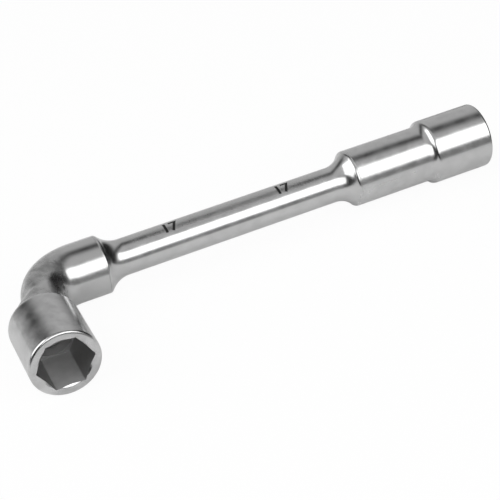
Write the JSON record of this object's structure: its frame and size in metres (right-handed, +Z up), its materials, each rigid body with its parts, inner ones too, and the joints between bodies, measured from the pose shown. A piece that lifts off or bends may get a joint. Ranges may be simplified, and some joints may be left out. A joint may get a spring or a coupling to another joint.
{
  "type": "l-shaped socket wrench",
  "caption": "L-shaped hand wrench with a hex socket in line with its round shank and another at a right angle, in bright chromed steel.",
  "frame": {"origin": "middle of the box that holds the wrench, on the floor it lies on", "axes": "+X along the shank towards the straight socket, -Y out of the elbow socket's mouth, +Z up, square to the plane of both arms"},
  "size_m": [0.1894, 0.058, 0.0239],
  "materials": {
    "machined_chrome": "satin-bright chrome plate over turned steel",
    "forged_chrome": "chrome plate over a forged, slightly mottled surface"
  },
  "bodies": {
    "root": {"straight_socket": "machined_chrome", "shank": "machined_chrome", "elbow": "forged_chrome", "elbow_socket": "machined_chrome"}
  },
  "joints": []
}
